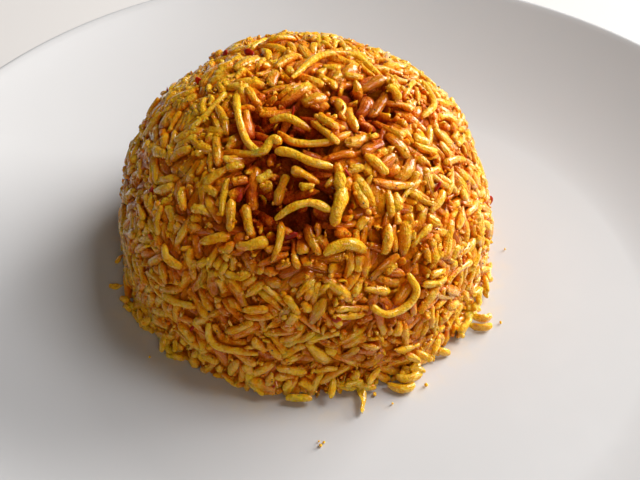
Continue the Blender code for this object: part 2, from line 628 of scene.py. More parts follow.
def settle(flocks, mould, fixed, fixed_radius, shell, passes):
    """Pushes overlapping grains apart and keeps them between the mould, the plate and the bottom of the
    shell.
    """
    sizes = [f.count * f.kind.beads for f in flocks]
    radius = np.concatenate([np.repeat(f.widths / 2, f.kind.beads) for f in flocks] + [fixed_radius])
    slack = np.concatenate([np.repeat(f.slack, f.kind.beads) for f in flocks])
    numbers = [np.arange(f.count) + 10**6 * i for i, f in enumerate(flocks)]
    grain = np.concatenate([np.repeat(n, f.kind.beads) for n, f in zip(numbers, flocks)])
    owner = np.concatenate([grain, np.full(len(fixed), -1)])
    loose = len(slack)
    for turn in range(passes):
        points = np.concatenate([f.beads.reshape(-1, 3) for f in flocks] + [fixed])
        if turn % SEARCH_EVERY == 0:
            first, second = close_pairs(points, owner, 2 * radius.max() + SEARCH_MARGIN)
        apart = points[first] - points[second]
        far = np.sqrt(np.einsum("ij,ij->i", apart, apart)) + 1e-9
        over = radius[first] + radius[second] - far
        hit = over > 0
        one, two = first[hit], second[hit]
        push = apart[hit] * (0.5 * over[hit] / far[hit])[:, None]
        many = np.bincount(one, minlength=len(points)) + np.bincount(two, minlength=len(points))
        ease = 1.0 / np.maximum(1.0, many * CROWDING)
        for c in range(3):
            move = np.bincount(one, push[:, c], len(points)) - np.bincount(two, push[:, c], len(points))
            points[:, c] += move * ease
        free = points[:loose]
        depth, outward = mould.depth(free)
        outside = np.maximum(0.0, radius[:loose] - slack - depth)
        inside = np.maximum(0.0, depth - shell)
        press = PRESSING * math.exp(-PRESSING_FADE * turn / passes)
        free += outward * (press - outside + 0.5 * inside)[:, None]
        free[:, 2] = np.maximum(free[:, 2], radius[:loose])
        start = 0
        for flock, size in zip(flocks, sizes):
            flock.beads = free[start : start + size].reshape(flock.count, flock.kind.beads, 3)
            flock.straighten()
            start += size


def evenly(rng, mould, count):
    """Random places all over the mould, even by area, and the mould's area."""
    points = mould.ways * mould.reach[..., None]
    across = (np.roll(points, -1, 1) - points)[:-1]
    upward = np.diff(points, axis=0)
    areas = np.linalg.norm(np.cross(across, upward), axis=2)
    cell = rng.choice(areas.size, count, p=(areas / areas.sum()).ravel())
    row, column = np.unravel_index(cell, areas.shape)
    places = points[row, column] + across[row, column] * rng.random((count, 1))
    return places + upward[row, column] * rng.random((count, 1)), areas.sum()


# The broken side of the heap: x, y, z and radius in millimetres from the middle of the heap's foot
TORN = ((-7.0, -16.0, 55.0, 14.0), (13.0, -7.0, 56.0, 11.0), (-5.0, -31.0, 48.0, 15.0))
TORN_EDGE = 1.7  # how sharply a torn place ends


def brokenness(places):
    """1 where rice stayed behind in the bowl and the heap is torn open, 0 where it is smooth."""
    torn = np.zeros(len(places))
    for x, y, z, radius in TORN:
        away = np.linalg.norm(places - np.array((x, y, z)), axis=1) / radius
        torn = np.maximum(torn, np.clip(TORN_EDGE * (1 - away**2), 0, 1))
    return torn


BUNDLE = 9.0  # the size of the patches in which the grains lie alike
SWIRL = 2.6  # how much the patches turn from one to the next, in half turns
UNRULY = 0.2  # the share of the grains that lie any way


def along_and_across(outward):
    """For each outward direction, the two directions along the surface: east and north."""
    east = np.cross((0.0, 0.0, 1.0), outward) + np.array((1e-6, 0, 0))
    east /= np.linalg.norm(east, axis=1, keepdims=True)
    return east, np.cross(outward, east)


def headings(rng, places, outward, tilt):
    """Directions along the surface. Most follow their neighbours, as pressed grains lie in bundles."""
    east, north = along_and_across(outward)
    swirl = np.array([noise.noise(Vector(p / BUNDLE)) for p in places]) * SWIRL * math.pi
    loose = rng.random(len(places)) < UNRULY
    angle = np.where(loose, rng.random(len(places)) * math.pi, swirl + rng.normal(0, 0.36, len(places)))
    flat = east * np.cos(angle)[:, None] + north * np.sin(angle)[:, None]
    rise = rng.normal(0.0, 1.0, len(places)) * tilt
    return flat * np.cos(rise)[:, None] + outward * np.sin(rise)[:, None]


def scatter(rng, mould, kind, count, shell):
    """A flock strewn through the shell, more tangled where the heap is torn."""
    places = evenly(rng, mould, count)[0]
    outward = mould.look_up(places)[1]
    widths = np.clip(rng.normal(kind.width, kind.width_spread, count), kind.width * 0.7, kind.width * 1.3)
    longest = kind.length + 2.2 * kind.length_spread
    lengths = np.clip(rng.normal(kind.length, kind.length_spread, count), widths * 1.3, longest)
    under = widths / 2 + rng.random(count) * (shell - widths)
    torn = brokenness(places)
    heading = headings(rng, places, outward, 0.12 + 0.42 * torn + 0.04 * under)
    # Grains bend any way along the surface, and round it
    bends = np.cross(heading, outward) * rng.normal(0, kind.curve, count)[:, None]
    bends -= outward * np.abs(rng.normal(0, 0.008, count))[:, None]
    # How far each grain may stand out of the mould, which is more where the heap is torn
    slack = rng.normal(0.14, 0.42, count).clip(-0.5, 1.3) + torn * rng.random(count) * 2.2
    middles = places - outward * under[:, None]
    return Flock(kind, middles, heading, bends, lengths, widths, slack, rng.random(count))


# Vermicelli and grains laid one by one: azimuth and elevation in degrees and distance in millimetres, all
# from the middle of the heap's foot, and then the thickness before it settles
LAID_STRANDS = (
    (((-168, 73, 57.6), (-147, 71, 58.4), (-127, 67, 58.3), (-114, 65, 57.6)), 2.1),
    (((-134, 62, 57.0), (-124, 64, 57.3), (-114, 66, 58.2), (-112, 69, 58.6), (-106, 69, 58.4)), 2.2),
    (((-108, 67, 57.6), (-98, 67, 57.8), (-86, 65, 57.8), (-77, 64, 57.4)), 2.2),
    (((-112, 72, 56.8), (-98, 70, 57.2), (-78, 70, 57.4), (-60, 71, 57.6)), 2.0),
    (((-123, 74, 56.8), (-110, 76, 57.4), (-88, 74, 56.6)), 2.0),
    (((-101, 52, 56.6), (-95, 55, 57.6), (-88, 56, 57.8), (-80, 54, 57.4)), 2.0),
    (((-176, 86, 57.4), (75, 81, 57.9), (48, 74, 57.8), (8, 71, 57.4)), 2.0),
    (((24, 58, 57.2), (3, 59, 58.0), (-11, 62, 57.4)), 2.0),
    (((120, 66, 57.2), (117, 69, 58.6), (108, 70, 58.9), (100, 68, 57.6)), 1.9),
    (((-58, 36, 54.0), (-57, 31, 54.0), (-61, 28, 53.6), (-67, 28, 53.6), (-71, 31, 53.6)), 2.0),
    (((-117, 22, 51.0), (-116, 18, 51.2), (-112, 16, 51.0), (-102, 17, 50.8)), 2.0),
)
LAID_GRAINS = (
    (((-74, 59, 57.4), (-78, 55, 57.9), (-81, 51, 57.2)), 3.1),
    (((-74, 65, 57.0), (-75, 61, 57.4), (-76, 58, 57.0)), 2.8),
    (((-61, 49, 56.6), (-63, 46, 56.8), (-65, 43, 56.0)), 2.6),
    (((-137, 36, 54.6), (-133, 34, 54.8), (-128, 34, 54.4)), 2.5),
    (((-124, 42, 55.6), (-120, 44, 55.9), (-115, 46, 55.8)), 2.7),
    (((-140, 50, 56.4), (-137, 48, 56.6), (-134, 46, 56.4)), 2.7),
    (((-84, 45, 56.0), (-77, 47, 56.4), (-71, 45, 56.0)), 2.7),
    (((-59, 65, 57.6), (-56, 62, 57.9), (-54, 59, 57.6)), 2.7),
)
LAID_WIDTH = 0.9  # what is left of that thickness once it has settled
STRAND_STEPS = 6  # points between two corners of a strand, and of a grain
GRAIN_STEPS = 4


def ways_out(turn, rise):
    """Unit vectors at azimuths and elevations in radians."""
    return np.stack([np.cos(rise) * np.cos(turn), np.cos(rise) * np.sin(turn), np.sin(rise)], -1)


def placed(corners):
    """Points in millimetres from their azimuth and elevation in degrees and their distance."""
    turn, rise, far = np.array(corners, float).T
    return ways_out(np.radians(turn), np.radians(rise)) * far[:, None]


def smooth_line(corners, steps):
    """A Catmull-Rom curve through corners given as azimuth, elevation and distance."""
    p = placed(corners)
    p = np.vstack([2 * p[0] - p[1], p, 2 * p[-1] - p[-2]])
    line = []
    for a, b, c, d in zip(p, p[1:], p[2:], p[3:]):
        for t in np.arange(steps) / steps:
            square, cube = 2 * a - 5 * b + 4 * c - d, 3 * b - 3 * c + d - a
            line.append(0.5 * (2 * b + (c - a) * t + square * t**2 + cube * t**3))
    return np.array([*line, p[-2]])


def nine_shifts(grid):
    """The grid, shifted by one cell every way, and unshifted."""
    return [np.roll(np.roll(grid, i, 0), j, 1) for i in (-1, 0, 1) for j in (-1, 0, 1)]


class Envelope:
    """The heap's outer surface as its grains make it, for telling a crevice from an open face, which the
    painted shade in the rice's colour follows.
    """

    CELL = 0.5  # millimetres, on a flat map that keeps areas
    SPHERE = 55.0  # the radius that the map's scale is true for
    TOUCHES = 7  # points across a bead that are put on the map
    GROWTH, SLOPE = 3, 0.12  # cells that the surface bridges, and how much it drops from cell to cell
    SOFTENING = 4  # how often the map is blurred

    def __init__(self, spots, thick):
        self.half = int(self.SPHERE * math.sqrt(2) / self.CELL) + 4
        top = np.zeros((2 * self.half, 2 * self.half))
        outward = spots / np.linalg.norm(spots, axis=1, keepdims=True)
        east, north = along_and_across(outward)
        for a in np.linspace(-0.9, 0.9, self.TOUCHES):
            for b in np.linspace(-0.9, 0.9, self.TOUCHES):
                if a * a + b * b <= 0.82:
                    lift = math.sqrt(1 - a * a - b * b)
                    touch = spots + (east * a + north * b + outward * lift) * thick[:, None]
                    np.maximum.at(top, self.cells(touch), np.linalg.norm(touch, axis=1))
        for _ in range(self.GROWTH):
            top = np.maximum(top, np.max(nine_shifts(top), axis=0) - self.SLOPE)
        for _ in range(self.SOFTENING):
            top = sum(nine_shifts(top)) / 9
        self.top = top

    def cells(self, points):
        way = points / np.linalg.norm(points, axis=1, keepdims=True)
        spread = np.sqrt(2 / (1 + np.maximum(way[:, 2], -0.1))) * self.SPHERE / self.CELL
        flat = np.rint(way[:, :2] * spread[:, None]).astype(int) + self.half
        flat = np.clip(flat, 0, 2 * self.half - 1)
        return flat[:, 0], flat[:, 1]

    def under(self, points):
        """How far under the surface each point lies, in millimetres."""
        return self.top[self.cells(points)] - np.linalg.norm(points, axis=1)


class Heap:
    """The settled rice, made once and shared by the operators that build it."""

    SHELL_SHARE = 0.86  # the shell's room over its area at the mould times its depth
    SEEN_DEPTH = 2.9  # grains that lie deeper aren't seen, and are left out
    SEEN_DEPTH_TORN = 2.6  # how much deeper grains are seen where the heap is torn
    LOST_TORN = 0.3  # the share of the grains that are missing where it is torn
    made = None

    def __init__(self, rice):
        rng = self.rng = np.random.default_rng(rice.seed)
        mould = self.mould = Mould()
        shell = rice.shell / MM
        room = evenly(rng, mould, 1)[1] * shell * self.SHELL_SHARE * rice.fill
        self.flocks = []
        for kind in kinds_of_grain(rice):
            one = math.pi / 4 * kind.width**2 * kind.flatness * (kind.length - kind.width / 3)
            self.flocks.append(scatter(rng, mould, kind, int(room * kind.share / one), shell))
        self.strands = [(smooth_line(c, STRAND_STEPS), width * LAID_WIDTH) for c, width in LAID_STRANDS]
        self.laid = [(smooth_line(c, GRAIN_STEPS), width * LAID_WIDTH) for c, width in LAID_GRAINS]
        lines = self.strands + self.laid
        fixed = np.concatenate([line for line, _ in lines])
        fixed_radius = np.concatenate([np.full(len(line), width / 2) for line, width in lines])
        passes = rice.passes
        settle(self.flocks, mould, fixed, fixed_radius, shell, passes)
        spots = np.concatenate([f.beads.reshape(-1, 3) for f in self.flocks] + [fixed])
        thick = np.concatenate([np.repeat(f.widths / 2, f.kind.beads) for f in self.flocks] + [fixed_radius])
        self.envelope = Envelope(spots, thick)
        for flock in self.flocks:
            hidden = self.envelope.under(flock.beads.reshape(-1, 3)).reshape(flock.count, -1).min(1)
            torn = brokenness(flock.middle)
            seen = hidden < self.SEEN_DEPTH + self.SEEN_DEPTH_TORN * torn
            flock.keep(seen & (rng.random(flock.count) > self.LOST_TORN * torn))

    @classmethod
    def of(cls, rice):
        if cls.made is None:
            cls.made = cls(rice)
        return cls.made


# --------------------------------------------------------------------------------------------------
# Bodies of the grains
# --------------------------------------------------------------------------------------------------

PRESSED = 1.10  # the settled grains are pressed a little into each other
SWAY = 0.20  # how far a grain wavers from its parabola
SWELL, UNEVEN = 0.11, 0.035  # how much its thickness goes up and down along it, slowly and at every ring
# A grain's rings, as shares of its length, and its thickness there with tapered and with square ends
RINGS = np.array((0.0, 0.045, 0.16, 0.38, 0.62, 0.84, 0.955, 1.0))
TAPERED = np.array((0.10, 0.42, 0.78, 1.0, 0.99, 0.80, 0.44, 0.12))
SQUARE = np.array((0.50, 0.88, 1.0, 1.0, 1.0, 1.0, 0.90, 0.52))

LUMP_SIZE = 1.1  # the size of the lumps on a grain
DENTS = 0.34  # how fine the dents are, next to the lumps
GIVE = 0.75  # how much is lost of what stands out of the mould
PROUD, PROUD_TORN = 0.6, 2.6  # how far it may stand out first, and how much more where the heap is torn


def outlines(flock, rng):
    """Points and half widths along each settled grain: arrays of grain by ring."""
    n = flock.count
    along = (RINGS[None, :] - 0.5) * flock.lengths[:, None]
    points = flock.arc(along)
    side = np.cross(flock.heading, rng.normal(size=(n, 3)))
    side /= np.linalg.norm(side, axis=1, keepdims=True)
    phase = rng.random((n, 1)) * 2 * math.pi
    sway = np.sin(RINGS[None, :] * 5.0 + phase) * np.abs(rng.normal(0, SWAY, (n, 1)))
    points += side[:, None] * sway[..., None]
    low, high = flock.kind.ends
    blunt = rng.uniform(low, high, (n, 1)) * (1 - RINGS) + rng.uniform(low, high, (n, 1)) * RINGS
    shape = TAPERED * (1 - blunt) + SQUARE * blunt
    swell = 1 + SWELL * np.sin(RINGS[None, :] * 6.0 + phase) + rng.normal(0, UNEVEN, (n, len(RINGS)))
    return points, shape * swell * flock.widths[:, None] / 2 * PRESSED


def rounded(count, width, taper=0.45):
    """Half widths along a grain that is even in the middle and rounds off at its ends."""
    place = np.linspace(-1, 1, count)
    return (1 - np.abs(place) ** 5 * taper) * width / 2


def cut(count, width):
    """Half widths along a strand that is a little uneven and has cut ends."""
    place = np.arange(count)
    end = np.minimum(1.0, np.minimum(place, place[::-1]) * 0.3 + 0.55)
    return end * width / 2 * (1 + 0.05 * np.sin(place * 0.7 + width * 9))


class Growth(Tree):
    """Geometry Nodes that grow a piece's bodies from its points, with named inputs."""

    def __init__(self, name, **inputs):
        self.group = bpy.data.node_groups.new(name, "GeometryNodeTree")
        super().__init__(self.group.nodes, self.group.links)
        face = self.group.interface
        for label, kind in {"Geometry": "Geometry", **inputs, "Material": "Material"}.items():
            face.new_socket(label.replace("_", " "), in_out="INPUT", socket_type="NodeSocket" + kind)
        face.new_socket("Geometry", in_out="OUTPUT", socket_type="NodeSocketGeometry")
        self.given = self.nodes.new("NodeGroupInput")

    def into(self, label):
        return Wire(self, self.given.outputs[label])

    def stored(self, label, kind="FLOAT"):
        return self.node("GeometryNodeInputNamedAttribute", {"data_type": kind}, {"Name": label})

    def store(self, geometry, label, value, kind="FLOAT"):
        settings = {"data_type": kind, "domain": "POINT"}
        values = {"Geometry": geometry, "Name": label, "Value": value}
        return self.node("GeometryNodeStoreNamedAttribute", settings, values)

    def lifted(self, body, height):
        """The body with its points moved out along their normals."""
        values = {0: self.node("GeometryNodeInputNormal"), "Scale": height}
        lift = self.node("ShaderNodeVectorMath", {"operation": "SCALE"}, values)
        return self.node("GeometryNodeSetPosition", None, {"Geometry": body, "Offset": lift})

    def realized(self, body):
        return self.node("GeometryNodeRealizeInstances", None, {"Geometry": body})

    def finish(self, body):
        body = self.realized(self.node("GeometryNodeSetShadeSmooth", None, {"Geometry": body}))
        values = {"Geometry": body, "Material": self.into("Material")}
        body = self.node("GeometryNodeSetMaterial", None, values)
        self.links.new(body.socket, self.nodes.new("NodeGroupOutput").inputs[0])
        return self.group


def grain_tree(name):
    """Gives a body to every line of points: a tube of varying thickness, with lumps and dents."""
    tree = Growth(name, Sides="Int", Flatness="Float", Lump_height="Float", Lump_size="Float")
    curve = tree.node("GeometryNodeMeshToCurve", None, {"Mesh": tree.into("Geometry")})
    values = {"Curve": curve, "Normal": tree.stored("facing", "FLOAT_VECTOR")}
    curve = tree.node("GeometryNodeSetCurveNormal", {"mode": "FREE"}, values)
    curve = tree.node("GeometryNodeSetCurveTilt", None, {"Curve": curve, "Tilt": tree.stored("turn")})
    curve = tree.store(curve, "along", tree.node("GeometryNodeSplineParameter", None, None, "Length"))

    spot = tree.node("GeometryNodeInputPosition")
    values = {"Resolution": tree.into("Sides"), "Radius": 1.0}
    ring = tree.node("GeometryNodeCurvePrimitiveCircle", None, values)
    ring = tree.store(ring, "across", spot, "FLOAT_VECTOR")
    squash = tree.node("ShaderNodeCombineXYZ", None, {"X": tree.into("Flatness"), "Y": 1.0, "Z": 1.0})
    flat = tree.node("ShaderNodeVectorMath", {"operation": "MULTIPLY"}, {0: spot, 1: squash})
    ring = tree.node("GeometryNodeSetPosition", None, {"Geometry": ring, "Position": flat})
    values = {"Curve": curve, "Profile Curve": ring, "Scale": tree.stored("thick"), "Fill Caps": True}
    body = tree.node("GeometryNodeCurveToMesh", None, values)

    lumps = tree.noise(spot, 1.0 / tree.into("Lump size"), 1.0)
    dents = tree.noise(spot, DENTS / tree.into("Lump size"), 0.0)
    swell = (lumps + dents * 1.3 - 1.15) * tree.into("Lump height")
    return tree.finish(tree.lifted(body, swell))


def use_tree(thing, make, name, **values):
    """Runs Geometry Nodes on an object, with inputs given by name, and leaves it as a plain mesh."""
    group = bpy.data.node_groups.get(name) or make(name)
    modifier = thing.modifiers.new(name, "NODES")
    modifier.node_group = group
    for item in group.interface.items_tree:
        key = item.name.replace(" ", "_")
        if item.item_type == "SOCKET" and item.in_out == "INPUT" and key in values:
            modifier[item.identifier] = values[key]
    graph = bpy.context.evaluated_depsgraph_get()
    mesh = bpy.data.meshes.new_from_object(thing.evaluated_get(graph), depsgraph=graph)
    thing.modifiers.clear()
    thing.data = mesh


def set_attribute(mesh, name, values):
    """Stores a number or a vector for each of the mesh's points."""
    vector = values.ndim == 2
    layer = mesh.attributes.new(name, "FLOAT_VECTOR" if vector else "FLOAT", "POINT")
    layer.data.foreach_set("vector" if vector else "value", values.astype(np.float32).ravel())


def to_world(points):
    return points * MM + np.array(HEAP_FOOT)


def corners_of(thing):
    corners = np.empty(len(thing.data.vertices) * 3, np.float32)
    thing.data.vertices.foreach_get("co", corners)
    return (corners.reshape(-1, 3) - np.array(HEAP_FOOT)) / MM


def press(thing, heap, give):
    """Flattens what stands out of the mould, save where the heap is torn."""
    corners = corners_of(thing)
    depth, outward = heap.mould.depth(corners)
    allowed = PROUD + PROUD_TORN * brokenness(corners)
    corners -= outward * (np.maximum(0.0, -depth - allowed) * give)[:, None]
    thing.data.vertices.foreach_set("co", to_world(corners).astype(np.float32).ravel())
    thing.data.update()


def finish_rice(thing, heap):
    """Marks how deep a piece lies under the heap's surface and where it is torn, and attaches it to the body.
    """
    corners = corners_of(thing)
    set_attribute(thing.data, "crevice", heap.envelope.under(corners))
    set_attribute(thing.data, "torn", brokenness(corners))
    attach(thing, BODY)
    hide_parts("rice_heap")


def strung(name, heap, lines, thicks, tones, material, turns=0.0, flatness=0.9, lump=1.0, sides=9, give=0.0):
    """One piece of grains from their lines of points, each with its half widths, tone and turn."""
    sizes = np.array([len(line) for line in lines])
    points = np.concatenate(lines)
    starts = np.cumsum(sizes) - sizes
    first = np.concatenate([np.arange(s, s + n - 1) for s, n in zip(starts, sizes)])
    mesh = bpy.data.meshes.new(name)
    mesh.from_pydata(to_world(points).tolist(), np.stack([first, first + 1], 1).tolist(), [])
    set_attribute(mesh, "thick", np.concatenate(thicks) * MM)
    set_attribute(mesh, "tone", np.repeat(np.broadcast_to(tones, len(sizes)), sizes))
    set_attribute(mesh, "turn", np.repeat(np.broadcast_to(turns, len(sizes)), sizes))
    set_attribute(mesh, "facing", heap.mould.look_up(points)[1])
    thing = new_object(name, mesh)
    use_tree(
        thing,
        grain_tree,
        "grain_bodies",
        Sides=sides,
        Flatness=flatness,
        Lump_height=lump * MM,
        Lump_size=LUMP_SIZE * MM,
        Material=material,
    )
    press(thing, heap, give)
    finish_rice(thing, heap)


def rice_material(rice, name, paleness=0.0, fibres=1.0):
    """Cooked rice steeped in tomato and palm oil, wet with sauce, with painted shade that darkens and reddens
    it the deeper it lies in the crevices.
    """
    paint = Paint(name)
    place = paint.place()
    tone = paint.attribute("tone")
    crevice = paint.attribute("crevice")
    blot = paint.noise(place, 430, 3.0, 0.6)
    broad = paint.noise(place, 55, 2.0, 0.5)
    fine = paint.noise(place, 1500, 3.0, 0.6)

    # Streaks that follow every grain: fine across it, drawn out along it, and different on each
    across = paint.attribute("across", "Vector")
    values = {"X": paint.attribute("along") * 130.0, "Y": tone * 90.0, "Z": tone * 40.0}
    drawn = paint.node("ShaderNodeCombineXYZ", None, values)
    width = 1.5 * fibres
    values = {0: across, 1: (width, width, width), 2: drawn}
    drawn = paint.node("ShaderNodeVectorMath", {"operation": "MULTIPLY_ADD"}, values)
    streak = paint.noise(drawn, 1.0, 3.0, 0.6)

    # How much sauce the rice took up, from pale to deep, deepened by painted shade the further under the
    # heap's surface it lies
    mood = (tone - 0.5) * 0.28 + 0.19 + (streak - 0.5) * 0.7 + (blot - 0.5) * 1.5 + (broad - 0.5) * 0.7
    mood = mood + crevice * 0.27 - paleness
    stops = ((0.08, rice.pale), (0.45, rice.gold), (0.95, rice.deep))
    skin = paint.node("ShaderNodeValToRGB", {"stops": stops}, {"Fac": mood})

    # Sauce on it and painted shade: a film on its flanks and thick sauce in the crevices, both darker the
    # deeper they lie, and smears anywhere. Starch stays on the open faces, which keeps them paler
    film_and_shade = (crevice + (blot - 0.5) * 1.8).smooth(0.30, 1.2)
    skin = paint.mix(film_and_shade * 0.62, skin, rice.deep)
    # Painted shade: the deeper a spot lies under the heap's surface, the more it turns to the dark sauce
    # colour, most where the heap is torn
    soaked_and_shaded = (crevice + (blot - 0.5) * 1.4).smooth(0.9, 2.3)
    soaked_and_shaded = soaked_and_shaded * (paint.attribute("torn") * 0.6 + 0.4)
    skin = paint.mix(soaked_and_shaded * 0.9, skin, rice.sauce)
    smear = paint.noise(place, 760, 4.0, 0.7).smooth(0.54, 0.64)
    skin = paint.mix(smear * 0.5, skin, rice.deep)
    starch = paint.noise(place, 700, 3.0, 0.6).smooth(0.48, 0.66) * (1.0 - film_and_shade)
    skin = paint.mix(starch * 0.5, skin, rice.starch)

    dimples = paint.noise(place, 800, 3.0, 0.65)
    grit = paint.noise(place, 2300, 2.0, 0.6)
    height = streak * (0.5 + 0.45 * fibres) + fine * 0.5 + dimples * 1.7 + blot * 0.8 + grit * 0.35
    wet = paint.noise(place, 340, 2.0, 0.5).smooth(0.36, 0.58)
    return paint.finish(
        Base_Color=skin,
        Roughness=0.30 + (fine - 0.5) * 0.5 + (streak - 0.5) * 0.2 + soaked_and_shaded * 0.25,
        Specular_IOR_Level=0.22,
        Specular_Tint=(1.0, 0.74, 0.32, 1.0),
        Subsurface_Weight=0.45,
        Subsurface_Radius=(1.0, 0.42, 0.07),
        Subsurface_Scale=0.0013,
        Coat_Weight=wet * (1.0 - soaked_and_shaded),
        Coat_Roughness=0.1,
        Normal=paint.bump(height, 0.00055, 1.0),
    )


class PLATED_OT_grains(bpy.types.Operator):
    """Pack the grains of rice against the mould and give them their bodies"""

    bl_idname = "plated.grains"
    bl_label = "Grains"

    def execute(self, context):
        rice = context.scene.plated_rice
        heap = Heap.of(rice)
        looks = {
            "long_grains": rice_material(rice, "rice_grain"),
            "broken_grains": rice_material(rice, "rice_broken", 0.05),
            "burst_grains": rice_material(rice, "rice_burst", -0.12, 3.2),
            "vermicelli": rice_material(rice, "noodle", 0.15, 0.5),
        }
        rng = heap.rng
        for flock in heap.flocks:
            kind = flock.kind
            points, thick = outlines(flock, rng)
            strung(
                kind.name,
                heap,
                points,
                thick,
                flock.tone,
                looks[kind.name],
                turns=rng.normal(0, kind.tumble, flock.count),
                flatness=kind.flatness,
                lump=kind.lump,
                sides=7,
                give=GIVE,
            )

        lines = [line for line, _ in heap.strands]
        thicks = [cut(len(line), width) for line, width in heap.strands]
        look = looks["vermicelli"]
        strung("laid_vermicelli", heap, lines, thicks, 0.25, look, flatness=0.95, lump=0.35)

        lines = [line for line, _ in heap.laid]
        thicks = [rounded(len(line), width) for line, width in heap.laid]
        tones = rng.random(len(lines)) * 0.4
        strung("laid_grains", heap, lines, thicks, tones, looks["long_grains"], lump=0.9)
        return {"FINISHED"}


# --------------------------------------------------------------------------------------------------
# Crumbs, tomato and pepper
# --------------------------------------------------------------------------------------------------

# Bits of pepper laid one by one: azimuth and elevation in degrees and distance in millimetres, all from
# the middle of the heap's foot
PEPPER_BITS = (
    (-120, 56, 56.4),
    (-117, 55, 56.6),
    (-115, 57, 56.2),
    (138, 70, 58.2),
    (170, 63, 58.2),
    (-107, 78, 57.0),
    (-71, 62, 57.6),
    (-81, 29, 53.2),
    (-95, 49, 55.4),
)
PEPPER_SIZE = 1.15  # half the size of the listed bits
PEPPER_SHAPE = (1.5, 0.7, 0.2)  # a bit's length, width and thickness over its size
DRAWS = 12  # spots drawn for each spot that is wanted, because many lie too deep


def crumb_tree(name):
    """Puts a lumpy crumb on every point, by its stretch and spin."""
    tree = Growth(name, Detail="Int", Lump_height="Float", Lump_size="Float")
    values = {"Radius": 1.0, "Subdivisions": tree.into("Detail")}
    ball = tree.node("GeometryNodeMeshIcoSphere", None, values, "Mesh")
    spin = tree.stored("spin", "FLOAT_VECTOR")
    values = {
        "Points": tree.into("Geometry"),
        "Instance": ball,
        "Rotation": tree.node("FunctionNodeEulerToRotation", None, {"Euler": spin}),
        "Scale": tree.stored("stretch", "FLOAT_VECTOR"),
    }
    body = tree.realized(tree.node("GeometryNodeInstanceOnPoints", None, values))
    lumps = tree.noise(tree.node("GeometryNodeInputPosition"), 1.0 / tree.into("Lump size"), 1.0)
    return tree.finish(tree.lifted(body, (lumps - 0.5) * tree.into("Lump height")))


def strewn(name, heap, rng, points, half_sizes, material, detail=1, lump=0.3, lump_size=0.8):
    """One piece of crumbs at points in millimetres, with half sizes along three axes, spun anyhow."""
    mesh = bpy.data.meshes.new(name)
    mesh.from_pydata(to_world(points).tolist(), [], [])
    set_attribute(mesh, "stretch", half_sizes * MM)
    set_attribute(mesh, "spin", rng.uniform(0, 2 * math.pi, (len(points), 3)))
    set_attribute(mesh, "tone", rng.random(len(points)))
    thing = new_object(name, mesh)
    use_tree(
        thing,
        crumb_tree,
        "crumb_bodies",
        Detail=detail,
        Lump_height=lump * MM,
        Lump_size=lump_size * MM,
        Material=material,
    )
    finish_rice(thing, heap)


def spots_between(heap, rng, count, least, most):
    """Random spots on the flanks of the outer grains, from least to most under the heap's surface."""
    beads = np.concatenate([f.beads.reshape(-1, 3) for f in heap.flocks])
    wide = np.concatenate([np.repeat(f.widths / 2, f.kind.beads) for f in heap.flocks])
    chosen = rng.integers(0, len(beads), count * DRAWS)
    way = rng.normal(size=(len(chosen), 3))
    way /= np.linalg.norm(way, axis=1, keepdims=True)
    spots = beads[chosen] + way * wide[chosen][:, None]
    under = heap.envelope.under(spots)
    fit = (under > least) & (under < most) & (spots[:, 2] > 1.0)
    return spots[fit][:count]


def pepper_material(rice):
    """Soft, wet bits of tomato and red pepper."""
    paint = Paint("pepper_bit")
    patch = paint.noise(paint.place(), 700, 3.0, 0.6)
    skin = paint.mix(patch.smooth(0.35, 0.7), rice.pepper, [c * 0.45 for c in rice.pepper])
    skin = paint.mix(paint.attribute("tone").smooth(0.6, 1.0) * 0.5, skin, rice.deep)
    return paint.finish(
        Base_Color=skin,
        Roughness=0.25 + patch * 0.2,
        Specular_IOR_Level=0.25,
        Subsurface_Weight=0.25,
        Subsurface_Radius=(1.0, 0.1, 0.05),
        Subsurface_Scale=0.001,
        Normal=paint.bump(patch, 0.0003, 0.8),
    )


class PLATED_OT_crumbs(bpy.types.Operator):
    """Strew the heap with mash, bits of tomato and red pepper, and specks of black pepper"""

    bl_idname = "plated.crumbs"
    bl_label = "Crumbs"

    def execute(self, context):
        rice = context.scene.plated_rice
        heap = Heap.of(rice)
        rng = np.random.default_rng(rice.seed + 1)

        spots = spots_between(heap, rng, rice.crumbs, 0.35, 1.7)
        size = rng.gamma(3.0, 0.13, len(spots)).clip(0.2, 0.8)[:, None]
        size = size * rng.uniform(0.55, 1.3, (len(spots), 3))
        strewn("mash_crumbs", heap, rng, spots, size, rice_material(rice, "mash_crumb", -0.22), lump=0.55)

        spots = spots_between(heap, rng, rice.bits, 0.1, 0.9)
        size = rng.gamma(4.0, 0.15, len(spots)).clip(0.3, 1.3)[:, None]
        spots = np.vstack([spots, placed(PEPPER_BITS)])
        size = np.vstack([size, np.full((len(PEPPER_BITS), 1), PEPPER_SIZE)])
        size = size * np.array(PEPPER_SHAPE) * rng.uniform(0.8, 1.2, (len(spots), 3))
        strewn("pepper_bits", heap, rng, spots, size, pepper_material(rice), detail=2, lump=0.9)

        spots = spots_between(heap, rng, rice.specks, 0.0, 0.9)
        size = rng.uniform(0.12, 0.26, (len(spots), 1)) * rng.uniform(0.7, 1.3, (len(spots), 3))
        black = plain_material("black_pepper", rice.black, 0.6)
        strewn("black_specks", heap, rng, spots, size, black, lump=0.1, lump_size=0.3)
        return {"FINISHED"}


# --------------------------------------------------------------------------------------------------
# What fell on the plate
# --------------------------------------------------------------------------------------------------

